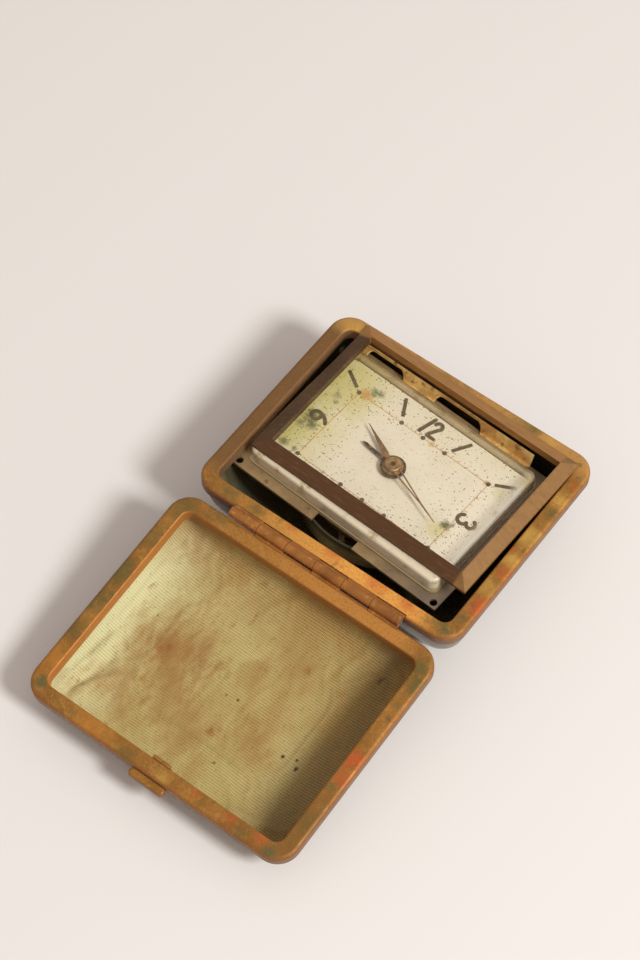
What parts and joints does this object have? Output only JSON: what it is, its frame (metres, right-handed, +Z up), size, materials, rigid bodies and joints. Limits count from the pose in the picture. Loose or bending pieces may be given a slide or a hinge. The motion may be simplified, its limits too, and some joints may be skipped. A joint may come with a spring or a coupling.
{
  "type": "folding travel alarm clock",
  "caption": "Folding travel alarm clock laid open: pressed brass case with a piano hinge, cloth linings, boxed crystal, rectangular dial, three hands and a wheel train in a round can.",
  "frame": {"origin": "middle of the flat face under the base that the open clock stands on", "axes": "+X along the hinge, +Y from the hinge towards the twelve o'clock side of the base, +Z up out of the dial"},
  "size_m": [0.085, 0.1435, 0.0238],
  "materials": {
    "case_lacquer": "glossy taupe-brown lacquer on brass, scuffed",
    "rim_copper": "worn copper-brown patina with bright edges",
    "lining_cloth": "gold ribbed cloth, stained",
    "hinge_brass": "worn satin with dark joints",
    "pin_steel": "dull drawn wire",
    "spring_steel": "satin",
    "strip_gilt": "bright gilt, lightly tarnished",
    "bezel_bronze": "dark bronze lacquer worn through on the edges",
    "crystal_plastic": "clear acrylic, yellowed",
    "dial_lacquer": "matt cream lacquer, aged",
    "mark_bronze": "embossed, dull",
    "hand_bronze": "tarnished satin",
    "plate_steel": "tinned steel with brown tarnish",
    "movement_brass": "satin",
    "turned_steel": "turned",
    "can_nickel": "nickel plate, fine scratches",
    "screw_steel": "slotted, blued",
    "wheel_brass": "cut and grained",
    "arbor_steel": "turned and polished",
    "balance_brass": "polished",
    "key_brass": "stamped, worn"
  },
  "bodies": {
    "base": {"base_shell": "case_lacquer", "base_rim": "rim_copper", "base_lining": "lining_cloth", "base_hinge_leaf": "hinge_brass", "hinge_pin": "pin_steel", "far_strip": "strip_gilt", "bezel_frame": "bezel_bronze", "crystal": "crystal_plastic", "dial": "dial_lacquer", "dial_marks": "mark_bronze", "mounting_plate": "plate_steel", "front_plate": "movement_brass", "back_plate": "movement_brass", "pillars": "turned_steel", "dial_posts": "turned_steel", "bell_can": "can_nickel", "can_spacers": "turned_steel", "back_screws": "screw_steel"},
    "lid": {"lid_shell": "case_lacquer", "lid_rim": "rim_copper", "lid_lining": "lining_cloth", "lid_hinge_leaf": "hinge_brass", "lid_thumb_lip": "rim_copper", "lid_catch_tab": "spring_steel"},
    "minute_work": {"centre_arbor": "arbor_steel", "centre_wheel": "wheel_brass", "minute_hand": "hand_bronze"},
    "hour_work": {"hour_wheel": "wheel_brass", "hour_hand": "hand_bronze"},
    "alarm_work": {"alarm_wheel": "wheel_brass", "alarm_hand": "hand_bronze"},
    "alarm_setter": {"alarm_set_knob": "arbor_steel"},
    "motion": {"motion_wheel": "wheel_brass"},
    "third": {"third_wheel": "wheel_brass"},
    "fourth": {"fourth_wheel": "wheel_brass"},
    "escape": {"escape_wheel": "wheel_brass"},
    "lever": {"pallet_lever": "spring_steel"},
    "balance": {"balance_wheel": "balance_brass"},
    "going_barrel": {"time_barrel": "wheel_brass"},
    "ringing_barrel": {"alarm_barrel": "wheel_brass"},
    "going_key": {"time_key": "key_brass"},
    "ringing_key": {"alarm_key": "key_brass"},
    "hammer": {"alarm_hammer": "spring_steel"}
  },
  "joints": [
    {"name": "lid_hinge", "type": "hinge", "parent": "base", "child": "lid", "pos_m": [0, -0.0363, 0.02065], "axis": [-1, 0, 0], "range_deg": [0, 183.5]},
    {"name": "minute_turn", "type": "hinge", "parent": "base", "child": "minute_work", "pos_m": [-0.0024, 0.002, 0.01], "axis": [0, 0, -1], "continuous": true},
    {"name": "hour_turn", "type": "hinge", "parent": "base", "child": "hour_work", "pos_m": [-0.0024, 0.002, 0.01], "axis": [0, 0, -1], "continuous": true},
    {"name": "alarm_turn", "type": "hinge", "parent": "base", "child": "alarm_work", "pos_m": [-0.0024, 0.002, 0.01], "axis": [0, 0, -1], "continuous": true},
    {"name": "alarm_setting_turn", "type": "hinge", "parent": "base", "child": "alarm_setter", "pos_m": [-0.01158, 0.00578, 0.01], "axis": [0, 0, -1], "continuous": true},
    {"name": "motion_turn", "type": "hinge", "parent": "base", "child": "motion", "pos_m": [0.00269, 0.00168, 0.01], "axis": [0, 0, -1], "continuous": true},
    {"name": "third_turn", "type": "hinge", "parent": "base", "child": "third", "pos_m": [0.00448, 0.00778, 0.01], "axis": [0, 0, -1], "continuous": true},
    {"name": "fourth_turn", "type": "hinge", "parent": "base", "child": "fourth", "pos_m": [-0.0013, 0.01145, 0.01], "axis": [0, 0, -1], "continuous": true},
    {"name": "escape_turn", "type": "hinge", "parent": "base", "child": "escape", "pos_m": [-0.00622, 0.01456, 0.01], "axis": [0, 0, -1], "continuous": true},
    {"name": "lever_swing", "type": "hinge", "parent": "base", "child": "lever", "pos_m": [-0.01161, 0.0141, 0.01], "axis": [0, 0, 1], "range_deg": [-4, 4]},
    {"name": "balance_swing", "type": "hinge", "parent": "base", "child": "balance", "pos_m": [-0.01642, 0.0101, 0.01], "axis": [0, 0, 1], "range_deg": [-160, 160], "stiffness_Nm_per_rad": 0.000002},
    {"name": "going_barrel_turn", "type": "hinge", "parent": "base", "child": "going_barrel", "pos_m": [-0.0108, -0.00408, 0.01], "axis": [0, 0, -1], "continuous": true},
    {"name": "ringing_barrel_turn", "type": "hinge", "parent": "base", "child": "ringing_barrel", "pos_m": [0.00748, -0.00814, 0.01], "axis": [0, 0, -1], "continuous": true},
    {"name": "going_winding", "type": "hinge", "parent": "base", "child": "going_key", "pos_m": [-0.0108, -0.00408, 0.01], "axis": [0, 0, 1], "continuous": true},
    {"name": "ringing_winding", "type": "hinge", "parent": "base", "child": "ringing_key", "pos_m": [0.00748, -0.00814, 0.01], "axis": [0, 0, 1], "continuous": true},
    {"name": "hammer_swing", "type": "hinge", "parent": "base", "child": "hammer", "pos_m": [0.01235, 0.00558, 0.01], "axis": [0, 0, 1], "range_deg": [-5, 12]}
  ],
  "couplings": [
    {"joint": "hour_turn", "follows": "minute_turn", "ratio": 0.083333},
    {"joint": "motion_turn", "follows": "minute_turn", "ratio": -0.33333},
    {"joint": "third_turn", "follows": "minute_turn", "ratio": -8.8889},
    {"joint": "going_barrel_turn", "follows": "minute_turn", "ratio": -0.13333},
    {"joint": "alarm_turn", "follows": "alarm_setting_turn", "ratio": -0.13372},
    {"joint": "escape_turn", "follows": "fourth_turn", "ratio": -7.1429}
  ]
}
